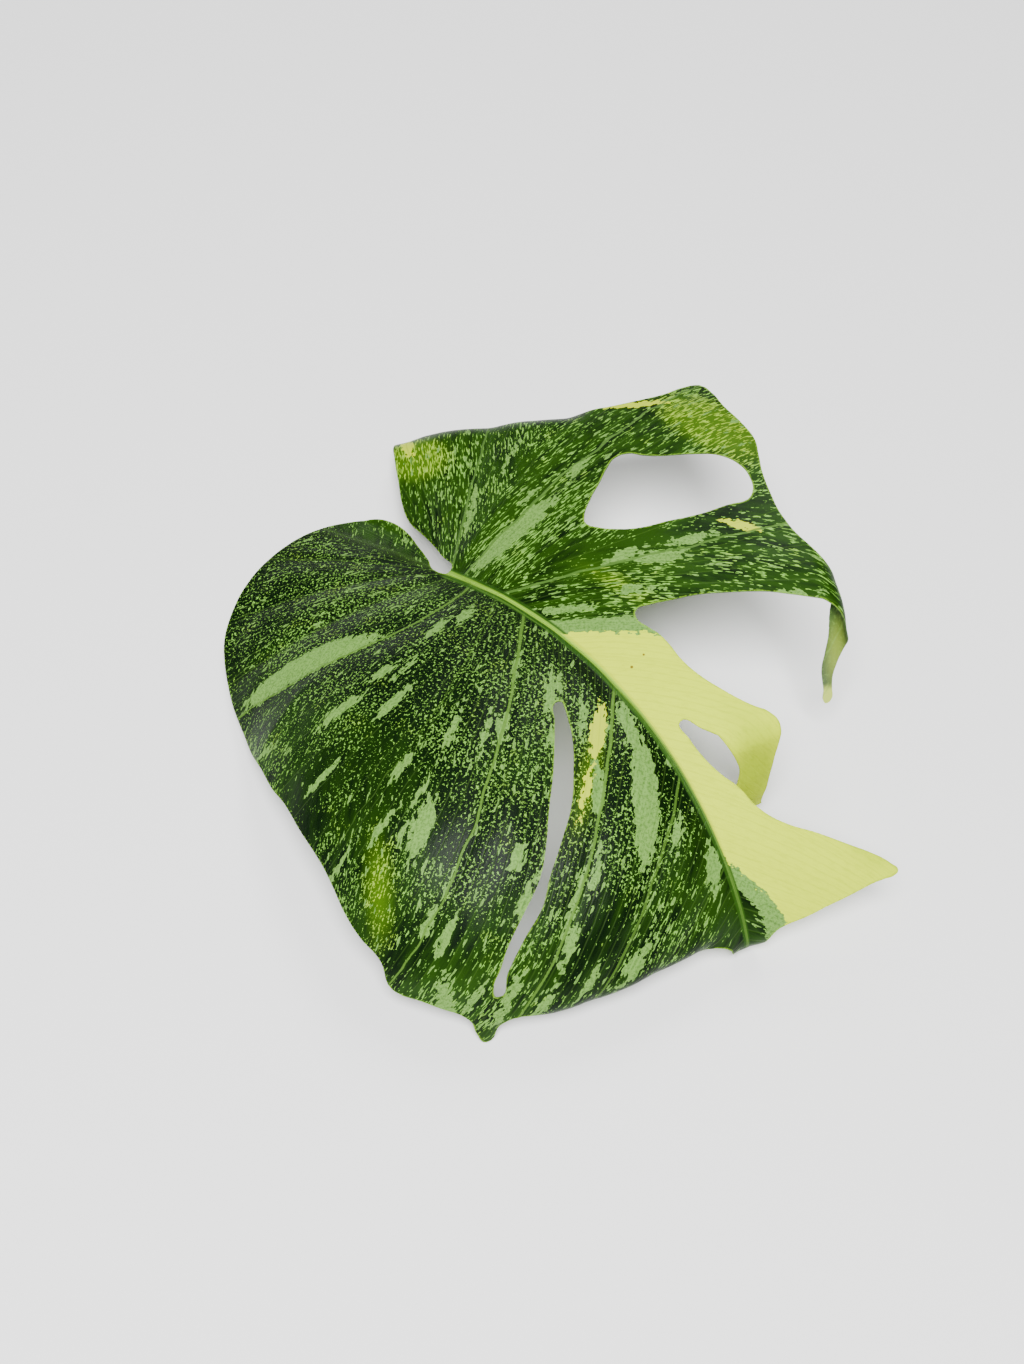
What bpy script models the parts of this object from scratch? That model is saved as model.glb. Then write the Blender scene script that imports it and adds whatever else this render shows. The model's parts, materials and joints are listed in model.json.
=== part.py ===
"""A variegated monstera leaf, picked with its stalk and laid face up.

The leaf is drawn flat first, in millimetres: u runs along the midrib from the sinus to the tip, v runs
across it, with the right half positive. The flat leaf is meshed, folded and arched into its real shape,
and thickened downward. The stalk is a tapering tube under the left half.
"""
from collections import namedtuple

import bpy
import numpy as np
from mathutils import Vector, geometry, kdtree

MM = 0.001

# The arch of the midrib.
MIDRIB_LENGTH = 225.0
MIDRIB_SPAN = (-130.0, 330.0)    # stations are taken from behind the sinus to beyond the tip
MIDRIB_STATIONS = 921
PITCH = (-23.0, 21.0, 64.0)      # degrees downhill at the sinus, and its growth along the midrib
PITCH_BEHIND = 0.08              # degrees for each millimetre behind the sinus
HEADING = (-4.0, 24.0)           # degrees to the left, at the sinus and gained by the tip
HEADING_SPAN = (-0.3, 1.3)       # the shares of the midrib between which the heading changes
SINUS_LEAN = 16.0                # how far the sinus leans to the right behind the leaf's base
SINUS_BEND = 30.0

# The slope of each half away from the midrib, in degrees: at the rib, and its change outward.
HALF_WIDTH = 140.0
RIGHT_SLOPE = (14.0, -8.0, -14.0)
LEFT_SLOPE = (12.0, -20.0, -35.0)

# Thickness of the blade, and of the rib under it.
BLADE_THICKNESS = 0.8
RIB_DEPTH = 4.4
RIB_HALF_WIDTH = 4.5
RIB_TAPER = 0.8

# Where the shaped leaf is laid down.
LAY_TURN = (-2.18, -2.98)        # degrees about X, then about Y
LAY_SHIFT = (-1.8, 68.5, 33.8)

# Mesh spacing, the flat area that it covers, and how near two points may be.
COARSE = 8.0
FINE = 4.0
LOOP_STEPS = 2
SHEET_U = (-96.0, 240.0)
SHEET_V = (-152.0, 152.0)
MERGE = 1e-4
SLOPE_STEPS = 24

# The stalk, from its joint under the sinus to its cut end; places are from the sinus, on the floor.
SINUS_ON_FLOOR = (-1.8, 68.5, 0.0)
STALK_PATH = ((0.0, -5.5, 31.25), (-0.5, -8.1, 24.4), (-6.0, -9.0, 11.0), (-24.0, -6.0, 4.4),
              (-60.0, -5.0, 3.4), (-106.0, -11.0, 3.4))
STALK_RADII = (3.1, 3.3, 3.0, 2.7, 2.8, 3.2)
STALK_STEPS = 5


def smooth(x, low, high):
    """Go smoothly from 0 at low to 1 at high."""
    t = np.clip((x - low) / (high - low), 0.0, 1.0)
    return t * t * (3.0 - 2.0 * t)


# The regions that each fold of the leaf acts on.

def tail_region(u, v):
    return (v > 75.0) * smooth(u, 76.0, 104.0)


def basal_region(u, v):
    return (v > 0.0) * smooth(-u, 0.0, 25.0)


def hook_region(u, v):
    slit = 21.5 + 0.55 * (u - 160.0) + 0.0056 * (u - 160.0) ** 2
    return (v > slit) * (v < 85.0) * (u < 222.0) * 1.0


def apex_region(u, v):
    return smooth(-np.abs(v), -22.0, -10.0)


def point_region(u, v):
    return (v > 30.0) * (u > 198.0) * 1.0


def front_region(u, v):
    return smooth(-v, 8.0, 30.0) * smooth(v, -112.0, -92.0)


# A fold bends the leaf down beyond the line through `at`, across `toward`; slide skews it sideways, and
# twist turns what hangs about its own middle line, in degrees.
Fold = namedtuple("Fold", "region at toward radius turn slide twist")
FOLDS = (
    Fold(tail_region, (120.0, 91.0), (0.55, 0.84), 9.0, 88.0, -0.3, -75.0),
    Fold(basal_region, (-58.0, 60.0), (-0.53, 0.85), 16.0, 65.0, 0.0, 0.0),
    Fold(hook_region, (145.0, 30.0), (1.0, 0.0), 12.0, 60.0, -0.58, 0.0),
    Fold(apex_region, (222.0, 0.0), (1.0, 0.0), 9.0, 45.0, 0.0, 0.0),
    Fold(point_region, (206.0, 58.0), (0.6, 0.8), 8.0, -30.0, 0.0, 0.0),
    Fold(front_region, (212.0, -50.0), (1.0, 0.0), 8.0, 80.0, 0.0, 0.0),
)
TWIST_SPAN = (8.0, 34.0)
TWIST_LEAN = -0.14

# The flat outline, lobe by lobe, clockwise from the sinus.
RIGHT_BASAL_LOBE = (
    (0.5, 1.5), (-12, 8.5), (-28, 15), (-41, 19.5), (-52, 28), (-61, 38), (-70, 48), (-79, 58),
    (-85, 68), (-83, 78), (-70, 88), (-54, 96), (-38, 100), (-22, 101), (-8, 103.5), (1, 110),
    (10, 122), (15, 132), (17, 141), (21, 147), (28, 145), (38, 139), (50, 134), (59, 129),
    (66, 122), (73, 115), (81, 109))
TAILED_LOBE = (
    (92, 103), (104, 101), (114, 103.5), (121, 106.5), (127.5, 109), (133, 112.5), (137.5, 118),
    (142, 123.5), (147, 127.5), (153, 131.5), (158.5, 135.5), (161, 135.5), (160.5, 132.5),
    (154.5, 128), (149.5, 124), (145.5, 119), (141, 111.5), (136, 102.5), (131, 97), (126, 91),
    (119, 82), (112, 73), (106, 64), (98, 52), (92, 41), (88, 34), (86, 29), (89, 26))
HOOKED_LOBE = (
    (95, 26.5), (100, 27.5), (106, 27.5), (114, 27), (123, 28.5), (130.5, 31.5), (138, 35.5), (144, 40),
    (147, 43.5), (150.5, 47), (154, 48.8), (162, 50.8), (171, 53), (181, 56.5), (190, 60.2),
    (198, 63.2), (206, 67), (212, 70.5), (216, 72.5), (215.5, 70.5), (208, 64.5), (203, 58.5),
    (198, 52.5), (192, 47), (185, 42), (179, 39), (173, 37.5), (167, 35.5), (159, 30.5), (152, 25.5),
    (146, 21), (140, 16.5), (133, 11))
POINTED_LOBE = (
    (141, 10), (148, 10.5), (157, 13), (165, 17), (174, 20), (182, 26), (191.5, 38.5), (199, 48.5),
    (204, 55.5), (209.5, 62), (212, 64), (213.5, 62), (214, 58), (215, 51), (217, 39), (219.5, 25),
    (220.5, 16))
TIP = ((222, 12), (226, 8.5), (231.5, 6.5), (236, 3), (234.5, -1.5), (229, -5.5), (223, -8.5), (220, -14))
LEFT_FRONT_LOBE = (
    (221, -28), (226, -44), (226.5, -60), (222, -77), (215, -92), (214, -100), (217, -105),
    (225, -111), (219, -114), (210, -115.5), (199, -125), (191, -132), (184, -139))
LEFT_SIDE = (
    (176, -142), (160, -140.5), (140, -143), (120, -143), (100, -140), (78, -137), (56, -133.5),
    (37, -129.5), (22, -127), (6, -122), (-11, -117), (-28, -110))
LEFT_BASAL_LOBE = (
    (-45, -101), (-60, -90), (-73, -76), (-81, -59), (-85, -40), (-85, -22), (-80, -4), (-71, 9),
    (-61, 16), (-50, 17), (-39, 14.5), (-27, 9), (-16, 3.8), (-6, -1.2))
OUTLINE = (RIGHT_BASAL_LOBE + TAILED_LOBE + HOOKED_LOBE + POINTED_LOBE + TIP
           + LEFT_FRONT_LOBE + LEFT_SIDE + LEFT_BASAL_LOBE)
WINDOW = (
    (38, 50), (41, 48), (46, 49), (52, 52), (60, 59), (66, 69), (72, 80), (76, 92), (78.5, 99),
    (77, 104), (72, 109), (65, 112), (57, 111), (49, 105), (41, 97), (34, 92), (29, 90), (26, 85),
    (27, 78), (30, 70), (33, 60))
SLIT = (
    (100, -26), (101, -23.5), (103, -24), (108, -26), (118, -31), (130, -39), (141, -47),
    (152, -58), (162, -68), (171, -75), (180, -86), (191, -96), (201, -102.5), (196, -103),
    (188, -98), (180, -92.5), (171, -83.5), (160, -71), (148, -62), (137, -54.5), (127, -46.5),
    (117, -39), (107, -31.5))


def clear_scene():
    for item in list(bpy.data.objects):
        bpy.data.objects.remove(item, do_unlink=True)


def make_collection(name):
    collection = bpy.data.collections.new(name)
    bpy.context.scene.collection.children.link(collection)
    return collection


def make_material(name, color, roughness):
    material = bpy.data.materials.new(name)
    material.use_nodes = True
    shader = material.node_tree.nodes["Principled BSDF"]
    shader.inputs["Base Color"].default_value = (*color, 1.0)
    shader.inputs["Roughness"].default_value = roughness
    shader.inputs["Metallic"].default_value = 0.0
    return material


def fold(u, v):
    """Fold the flat leaf; return the moved u and v and the height above the flat."""
    flat_u, flat_v = u, v
    height = np.zeros_like(u)
    for item in FOLDS:
        toward = np.array(item.toward) / np.hypot(*item.toward)
        beyond = (u - item.at[0]) * toward[0] + (v - item.at[1]) * toward[1]
        beyond = np.maximum(beyond, 0.0)
        weight = item.region(u, v) * (beyond > 0.0)
        turn = np.radians(abs(item.turn)) * weight
        angle = np.minimum(beyond / item.radius, turn)
        straight = beyond - angle * item.radius
        along = item.radius * np.sin(angle) + straight * np.cos(angle)
        drop = item.radius * (1.0 - np.cos(angle)) + straight * np.sin(angle)
        shift = np.where(weight > 0.0, along - beyond, 0.0)
        slide = item.slide * beyond * weight
        u = u + shift * toward[0] - slide * toward[1]
        v = v + shift * toward[1] + slide * toward[0]
        aside = (flat_v - item.at[1]) * toward[0] - (flat_u - item.at[0]) * toward[1] - TWIST_LEAN * beyond
        twist = np.radians(item.twist) * weight * smooth(beyond, *TWIST_SPAN)
        turned = aside * (np.cos(twist) - 1.0)
        out = aside * np.sin(twist)
        u = u - turned * toward[1] + out * np.sin(angle) * toward[0]
        v = v + turned * toward[0] + out * np.sin(angle) * toward[1]
        height = height - np.sign(item.turn) * drop + out * np.cos(angle)
    return u, v, height


def midrib_frames():
    """Walk along the midrib and return its stations, places, across and upward directions."""
    station = np.linspace(*MIDRIB_SPAN, MIDRIB_STATIONS)
    share = station / MIDRIB_LENGTH
    pitch = PITCH[0] + PITCH[1] * share + PITCH[2] * np.sign(share) * share ** 2
    pitch = np.radians(np.where(station < 0.0, PITCH[0] - PITCH_BEHIND * station, pitch))
    heading = np.radians(HEADING[0] + HEADING[1] * np.clip(share, *HEADING_SPAN))
    forward = np.stack((-np.sin(heading) * np.cos(pitch),
                        -np.cos(heading) * np.cos(pitch),
                        -np.sin(pitch)), axis=-1)
    step = (forward[1:] + forward[:-1]) / 2.0 * (station[1] - station[0])
    place = np.vstack((np.zeros(3), np.cumsum(step, axis=0)))
    place = place - place[np.argmin(np.abs(station))]
    across = np.stack((np.cos(heading), -np.sin(heading), np.zeros_like(heading)), axis=-1)
    upward = np.cross(forward, across)
    upward = upward * np.sign(upward[:, 2:3])
    return station, place, across, upward


def sloped(distance, slope):
    """Follow a half's slope outward; return the reach, the rise and the slope there."""
    reach = np.zeros_like(distance)
    rise = np.zeros_like(distance)
    for index in range(SLOPE_STEPS):
        share = (index + 0.5) / SLOPE_STEPS * distance / HALF_WIDTH
        angle = np.radians(slope[0] + slope[1] * share + slope[2] * share ** 2)
        reach = reach + np.cos(angle) * distance / SLOPE_STEPS
        rise = rise + np.sin(angle) * distance / SLOPE_STEPS
    share = distance / HALF_WIDTH
    return reach, rise, np.radians(slope[0] + slope[1] * share + slope[2] * share ** 2)


def lay(points):
    """Turn and shift the shaped leaf so that it rests on three points."""
    about_x, about_y = np.radians(LAY_TURN)
    turn_x = np.array(((1.0, 0.0, 0.0),
                       (0.0, np.cos(about_x), -np.sin(about_x)),
                       (0.0, np.sin(about_x), np.cos(about_x))))
    turn_y = np.array(((np.cos(about_y), 0.0, np.sin(about_y)),
                       (0.0, 1.0, 0.0),
                       (-np.sin(about_y), 0.0, np.cos(about_y))))
    return points @ (turn_y @ turn_x).T + np.array(LAY_SHIFT)


def shape(flat):
    """Carry flat points to their places on the arched leaf, in millimetres."""
    u, v, height = fold(flat[:, 0], flat[:, 1])
    station, place, across, upward = midrib_frames()
    place, across, upward = (
        np.stack([np.interp(u, station, table[:, axis]) for axis in range(3)], axis=-1)
        for table in (place, across, upward))
    centre = SINUS_LEAN * (1.0 - np.exp(np.minimum(u, 0.0) / SINUS_BEND))
    side = np.where(v >= centre, 1.0, -1.0)
    distance = np.abs(v - centre)
    right = sloped(distance, RIGHT_SLOPE)
    left = sloped(distance, LEFT_SLOPE)
    reach, rise, angle = (np.where(side > 0.0, r, l) for r, l in zip(right, left))
    sideways = centre + side * (reach - height * np.sin(angle))
    lift = rise + height * np.cos(angle)
    return lay(place + sideways[:, None] * across + lift[:, None] * upward)


def smooth_loop(points):
    """Round a closed list of points with a Bezier curve and return its points, counterclockwise."""
    curve = bpy.data.curves.new("loop", "CURVE")
    curve.dimensions = "2D"
    curve.fill_mode = "NONE"
    spline = curve.splines.new("BEZIER")
    spline.bezier_points.add(len(points) - 1)
    spline.use_cyclic_u = True
    spline.resolution_u = LOOP_STEPS
    for knot, (u, v) in zip(spline.bezier_points, points):
        knot.co = (u, v, 0.0)
        knot.handle_left_type = "AUTO"
        knot.handle_right_type = "AUTO"
    item = bpy.data.objects.new("loop", curve)
    bpy.context.scene.collection.objects.link(item)
    bpy.context.view_layer.update()
    loop = [vertex.co.xy.copy() for vertex in item.to_mesh().vertices]
    bpy.data.objects.remove(item, do_unlink=True)
    twice_area = sum(here.cross(after) for here, after in zip(loop, loop[1:] + loop[:1]))
    return loop if twice_area > 0.0 else loop[::-1]


def near_a_fold(u, v):
    for item in FOLDS:
        toward = Vector(item.toward).normalized()
        beyond = (Vector((u, v)) - Vector(item.at)).dot(toward)
        if item.region(np.array([u]), np.array([v]))[0] > 0.0 and beyond > -FINE:
            return True
    return False


def inner_points(border):
    """Rows of points beside the midrib, and a staggered grid elsewhere, clear of the border."""
    tree = kdtree.KDTree(len(border))
    for index, point in enumerate(border):
        tree.insert((point.x, point.y, 0.0), index)
    tree.balance()
    points = []
    for v in (-RIB_HALF_WIDTH, -RIB_HALF_WIDTH / 2.0, 0.0, RIB_HALF_WIDTH / 2.0, RIB_HALF_WIDTH):
        for u in np.arange(COARSE / 2.0, MIDRIB_LENGTH + COARSE, COARSE):
            if tree.find((u, v, 0.0))[2] > RIB_HALF_WIDTH / 2.0:
                points.append(Vector((u, v)))
    rows = np.arange(*SHEET_U, FINE)
    columns = np.arange(*SHEET_V, FINE)
    for row, u in enumerate(rows):
        for column, v in enumerate(columns):
            coarse = row % 2 == 0 and (column + row // 2) % 2 == 0
            if not coarse and not near_a_fold(u, v):
                continue
            if abs(v) < RIB_HALF_WIDTH + FINE / 2.0 and u > 0.0:
                continue
            clear = COARSE / 2.0 if coarse else FINE / 2.0
            if tree.find((u, v, 0.0))[2] > clear:
                points.append(Vector((u, v)))
    return points


def flat_mesh():
    """Triangulate the flat leaf between its outline, its window and its slit."""
    points = []
    loops = []
    for loop in (smooth_loop(OUTLINE), smooth_loop(WINDOW), smooth_loop(SLIT)):
        loops.append(list(range(len(points), len(points) + len(loop))))
        points.extend(loop)
    points.extend(inner_points(points))
    inside_loops = 1
    flat, _, faces, _, _, owners = geometry.delaunay_2d_cdt(points, [], loops, inside_loops, MERGE)
    outline_only = [0]
    return flat, [face for face, owner in zip(faces, owners) if list(owner) == outline_only]


def rib_weight(u, v):
    """Share of the rib's full depth under a point of the flat leaf."""
    across = max(0.0, 1.0 - abs(v) / RIB_HALF_WIDTH)
    along = 1.0 - RIB_TAPER * min(max(u, 0.0) / MIDRIB_LENGTH, 1.0)
    thin = BLADE_THICKNESS / RIB_DEPTH
    return thin + (1.0 - thin) * across * along * (u > 0.0)


def build_blade(collection, material):
    flat, faces = flat_mesh()
    used = sorted({index for face in faces for index in face})
    renumber = {old: new for new, old in enumerate(used)}
    flat = [flat[index] for index in used]
    places = shape(np.array([tuple(point) for point in flat])) * MM
    mesh = bpy.data.meshes.new("blade")
    mesh.from_pydata([Vector(place) for place in places], [],
                     [[renumber[index] for index in face] for face in faces])
    blade = bpy.data.objects.new("blade", mesh)
    collection.objects.link(blade)
    if sum(polygon.normal.z * polygon.area for polygon in mesh.polygons) < 0.0:
        mesh.flip_normals()
    rib = blade.vertex_groups.new(name="rib")
    for index, point in enumerate(flat):
        rib.add([index], rib_weight(point.x, point.y), "REPLACE")
    thicken = blade.modifiers.new("thicken", "SOLIDIFY")
    thicken.thickness = RIB_DEPTH * MM
    thicken.offset = -1.0
    thicken.vertex_group = rib.name
    mesh.materials.append(material)
    return blade


def build_stalk(collection, material):
    curve = bpy.data.curves.new("petiole", "CURVE")
    curve.dimensions = "3D"
    curve.bevel_depth = MM
    curve.bevel_resolution = 3
    curve.use_fill_caps = True
    spline = curve.splines.new("BEZIER")
    spline.bezier_points.add(len(STALK_PATH) - 1)
    spline.resolution_u = STALK_STEPS
    for knot, place, radius in zip(spline.bezier_points, STALK_PATH, STALK_RADII):
        knot.co = (Vector(place) + Vector(SINUS_ON_FLOOR)) * MM
        knot.radius = radius
        knot.handle_left_type = "AUTO"
        knot.handle_right_type = "AUTO"
    stalk = bpy.data.objects.new("petiole", curve)
    collection.objects.link(stalk)
    curve.materials.append(material)
    return stalk


def build():
    clear_scene()
    leaf = make_collection("monstera_leaf")
    green = make_material("leaf_green", (0.075, 0.165, 0.04), 0.4)
    pale_green = make_material("stalk_green", (0.16, 0.26, 0.06), 0.45)
    build_blade(leaf, green)
    build_stalk(leaf, pale_green)


build()
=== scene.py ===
"""A variegated monstera leaf, picked with its stalk and laid face up on a pale table."""

import json
from collections import namedtuple
from math import pi, radians

import bpy
import numpy as np
from mathutils import Matrix, Vector, kdtree, noise

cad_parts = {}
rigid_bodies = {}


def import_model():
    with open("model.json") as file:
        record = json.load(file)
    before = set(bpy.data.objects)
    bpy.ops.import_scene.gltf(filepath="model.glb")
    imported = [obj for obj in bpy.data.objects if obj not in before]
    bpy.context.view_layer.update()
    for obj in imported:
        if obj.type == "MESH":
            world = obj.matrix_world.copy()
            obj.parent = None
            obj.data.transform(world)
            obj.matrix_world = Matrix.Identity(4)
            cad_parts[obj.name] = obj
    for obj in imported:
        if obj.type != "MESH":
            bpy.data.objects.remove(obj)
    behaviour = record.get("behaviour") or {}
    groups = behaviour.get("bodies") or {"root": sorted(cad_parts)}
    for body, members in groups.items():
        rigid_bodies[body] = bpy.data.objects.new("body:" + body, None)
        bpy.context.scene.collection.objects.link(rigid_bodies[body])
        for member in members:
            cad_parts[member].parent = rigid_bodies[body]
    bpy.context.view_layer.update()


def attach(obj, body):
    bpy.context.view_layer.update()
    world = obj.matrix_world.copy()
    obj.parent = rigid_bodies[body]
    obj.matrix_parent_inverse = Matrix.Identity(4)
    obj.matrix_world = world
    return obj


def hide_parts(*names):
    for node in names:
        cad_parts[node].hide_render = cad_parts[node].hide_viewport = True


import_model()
bpy.ops.object.select_all(action="DESELECT")

# The blade, drawn flat. A monstera blade is one thin sheet that grows with splits and a window in it.
# Its pattern is in millimetres: u runs along the midrib from the sinus, where the stalk joins, to the
# tip, and v runs across it, with the right half positive.
MM = 0.001
RIGHT_BASAL_LOBE = (
    (0.5, 1.5), (-12, 8.5), (-28, 15), (-41, 19.5), (-52, 28), (-61, 38), (-70, 48), (-79, 58),
    (-85, 68), (-83, 78), (-70, 88), (-54, 96), (-38, 100), (-22, 101), (-8, 103.5), (1, 110),
    (10, 122), (15, 132), (17, 141), (21, 147), (28, 145), (38, 139), (50, 134), (59, 129),
    (66, 122), (73, 115), (81, 109))
TAILED_LOBE = (
    (92, 103), (104, 101), (114, 103.5), (121, 106.5), (127.5, 109), (133, 112.5), (137.5, 118),
    (142, 123.5), (147, 127.5), (153, 131.5), (158.5, 135.5), (161, 135.5), (160.5, 132.5),
    (154.5, 128), (149.5, 124), (145.5, 119), (141, 111.5), (136, 102.5), (131, 97), (126, 91),
    (119, 82), (112, 73), (106, 64), (98, 52), (92, 41), (88, 34), (86, 29), (89, 26))
HOOKED_LOBE = (
    (95, 26.5), (100, 27.5), (106, 27.5), (114, 27), (123, 28.5), (130.5, 31.5), (138, 35.5), (144, 40),
    (147, 43.5), (150.5, 47), (154, 48.8), (162, 50.8), (171, 53), (181, 56.5), (190, 60.2),
    (198, 63.2), (206, 67), (212, 70.5), (216, 72.5), (215.5, 70.5), (208, 64.5), (203, 58.5),
    (198, 52.5), (192, 47), (185, 42), (179, 39), (173, 37.5), (167, 35.5), (159, 30.5), (152, 25.5),
    (146, 21), (140, 16.5), (133, 11))
POINTED_LOBE = (
    (141, 10), (148, 10.5), (157, 13), (165, 17), (174, 20), (182, 26), (191.5, 38.5), (199, 48.5),
    (204, 55.5), (209.5, 62), (212, 64), (213.5, 62), (214, 58), (215, 51), (217, 39), (219.5, 25),
    (220.5, 16))
TIP = ((222, 12), (226, 8.5), (231.5, 6.5), (236, 3), (234.5, -1.5), (229, -5.5), (223, -8.5), (220, -14))
LEFT_FRONT_LOBE = (
    (221, -28), (226, -44), (226.5, -60), (222, -77), (215, -92), (214, -100), (217, -105),
    (225, -111), (219, -114), (210, -115.5), (199, -125), (191, -132), (184, -139))
LEFT_SIDE = (
    (176, -142), (160, -140.5), (140, -143), (120, -143), (100, -140), (78, -137), (56, -133.5),
    (37, -129.5), (22, -127), (6, -122), (-11, -117), (-28, -110))
LEFT_BASAL_LOBE = (
    (-45, -101), (-60, -90), (-73, -76), (-81, -59), (-85, -40), (-85, -22), (-80, -4), (-71, 9),
    (-61, 16), (-50, 17), (-39, 14.5), (-27, 9), (-16, 3.8), (-6, -1.2))
OUTLINE = (RIGHT_BASAL_LOBE + TAILED_LOBE + HOOKED_LOBE + POINTED_LOBE + TIP
           + LEFT_FRONT_LOBE + LEFT_SIDE + LEFT_BASAL_LOBE)
WINDOW = (
    (38, 50), (41, 48), (46, 49), (52, 52), (60, 59), (66, 69), (72, 80), (76, 92), (78.5, 99),
    (77, 104), (72, 109), (65, 112), (57, 111), (49, 105), (41, 97), (34, 92), (29, 90), (26, 85),
    (27, 78), (30, 70), (33, 60))
SLIT = (
    (100, -26), (101, -23.5), (103, -24), (108, -26), (118, -31), (130, -39), (141, -47),
    (152, -58), (162, -68), (171, -75), (180, -86), (191, -96), (201, -102.5), (196, -103),
    (188, -98), (180, -92.5), (171, -83.5), (160, -71), (148, -62), (137, -54.5), (127, -46.5),
    (117, -39), (107, -31.5))
SHEET_CENTRE = (72.0, 0.0)
SHEET_SIZE = (328.0, 304.0)
SHEET_STEP = 1.2
WALL_STEPS = 6
CUTTER_HEIGHT = 5.0


def smooth(x, low, high):
    """Go smoothly from 0 at low to 1 at high."""
    t = np.clip((x - low) / (high - low), 0.0, 1.0)
    return t * t * (3.0 - 2.0 * t)


def cutter(name, points):
    """Stand a smooth closed wall on a line of the pattern."""
    curve = bpy.data.curves.new(name, "CURVE")
    curve.dimensions = "2D"
    curve.fill_mode = "NONE"
    curve.extrude = CUTTER_HEIGHT
    spline = curve.splines.new("BEZIER")
    spline.bezier_points.add(len(points) - 1)
    spline.use_cyclic_u = True
    spline.resolution_u = WALL_STEPS
    for knot, (u, v) in zip(spline.bezier_points, points):
        knot.co = (u, v, 0.0)
        knot.handle_left_type = "AUTO"
        knot.handle_right_type = "AUTO"
    wall = bpy.data.objects.new(name, curve)
    bpy.context.scene.collection.objects.link(wall)
    return wall


bpy.ops.mesh.primitive_grid_add(x_subdivisions=int(SHEET_SIZE[0] / SHEET_STEP),
                                y_subdivisions=int(SHEET_SIZE[1] / SHEET_STEP),
                                size=1.0, location=(*SHEET_CENTRE, 0.0))
blade = bpy.context.object
blade.name = "leaf_blade"
bpy.ops.transform.resize(value=(*SHEET_SIZE, 1.0))
bpy.ops.object.transform_apply(location=True, rotation=True, scale=True)
for cut in (cutter("edge_line", OUTLINE), cutter("window_line", WINDOW), cutter("slit_line", SLIT)):
    cut.select_set(True)
bpy.ops.object.convert(target="MESH")
walls = [item for item in bpy.context.selected_objects if item.name.endswith("_line")]
border = [corner.co.xy.copy() for wall in walls for corner in wall.data.vertices if corner.co.z > 0.0]
bpy.context.view_layer.objects.active = blade
bpy.ops.object.join()

# The sheet is cut along the walls, and what isn't leaf is thrown away.
for face in blade.data.polygons:
    face.select = abs(face.normal.z) > 0.5
bpy.ops.object.mode_set(mode="EDIT")
bpy.ops.mesh.intersect(mode="SELECT_UNSELECT", separate_mode="ALL", solver="EXACT")
bpy.ops.mesh.select_all(action="DESELECT")
bpy.ops.object.mode_set(mode="OBJECT")
inside = min(blade.data.polygons,
             key=lambda face: (face.center - Vector((*SHEET_CENTRE, 0.0))).length - abs(face.normal.z))
inside.select = True
bpy.ops.object.mode_set(mode="EDIT")
bpy.ops.mesh.select_linked()
bpy.ops.mesh.select_all(action="INVERT")
bpy.ops.mesh.delete(type="FACE")
bpy.ops.mesh.select_all(action="SELECT")
bpy.ops.mesh.delete_loose()
bpy.ops.mesh.select_all(action="SELECT")
bpy.ops.mesh.remove_doubles(threshold=SHEET_STEP / 8.0)
bpy.ops.object.mode_set(mode="OBJECT")

# The blade's veins. They are cords of tougher tissue that leave the midrib on each side and run to the
# edge. Each is a line u = start + lean * d + curl * d * d, where d is the distance from the midrib.
Vein = namedtuple("Vein", "start lean curl strength")
LEFT_VEINS = (
    Vein(-2, -3.0, 0.0, 0.3), Vein(0, -1.2, 0.0, 0.3), Vein(4, -0.35, -0.003, 0.3),
    Vein(16, 0.4, -0.0088, 1.0), Vein(32, 0.8, -0.003, 0.3), Vein(49, 1.03, -0.001, 1.0),
    Vein(72, 1.25, 0.0, 0.2), Vein(105, 1.12, 0.0, 1.0), Vein(150, 1.0, 0.0, 0.7),
    Vein(190, 0.7, 0.0, 0.3))
RIGHT_VEINS = (
    Vein(-1, -3.0, 0.0, 0.3), Vein(0, -1.2, 0.0, 0.3), Vein(2, -0.6, 0.001, 0.9),
    Vein(9, 0.08, 0.0, 1.0), Vein(33, 0.95, -0.0035, 1.0), Vein(60, 1.1, -0.002, 0.3),
    Vein(86, 1.2, 0.0, 0.6), Vein(120, 1.1, 0.0, 0.2), Vein(155, 1.05, 0.0, 0.5),
    Vein(190, 0.8, 0.0, 0.3))


def vein_numbers(u, v):
    """Return each point's place between the veins, the gap between them in mm, and their strength."""
    place = np.zeros_like(u)
    gap = np.zeros_like(u)
    strength = np.zeros_like(u)
    out = np.abs(v)
    for veins, here in ((LEFT_VEINS, v < 0.0), (RIGHT_VEINS, v >= 0.0)):
        starts = np.array([vein.start + vein.lean * out + vein.curl * out ** 2 for vein in veins])
        leans = np.array([vein.lean + 2.0 * vein.curl * out for vein in veins])
        below = np.clip((starts <= u).sum(axis=0) - 1, 0, len(veins) - 2)
        each = np.arange(u.size)
        width = starts[below + 1, each] - starts[below, each]
        part = (u - starts[below, each]) / width
        lean = leans[below, each] + (leans[below + 1, each] - leans[below, each]) * np.clip(part, 0.0, 1.0)
        place = np.where(here, below + part, place)
        gap = np.where(here, width / np.sqrt(1.0 + lean ** 2), gap)
        power = np.interp(below + part, np.arange(len(veins)), [vein.strength for vein in veins])
        strength = np.where(here, power, strength)
    return place, gap, strength


count = len(blade.data.vertices)
flat = np.zeros(count * 3)
blade.data.vertices.foreach_get("co", flat)
flat = flat.reshape(-1, 3)[:, :2]
u, v = flat[:, 0], flat[:, 1]
vein, gap, strength = vein_numbers(u, v)

tree = kdtree.KDTree(len(border))
for index, point in enumerate(border):
    tree.insert((point.x, point.y, 0.0), index)
tree.balance()
to_edge = np.array([tree.find((x, y, 0.0))[2] for x, y in flat])

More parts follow.
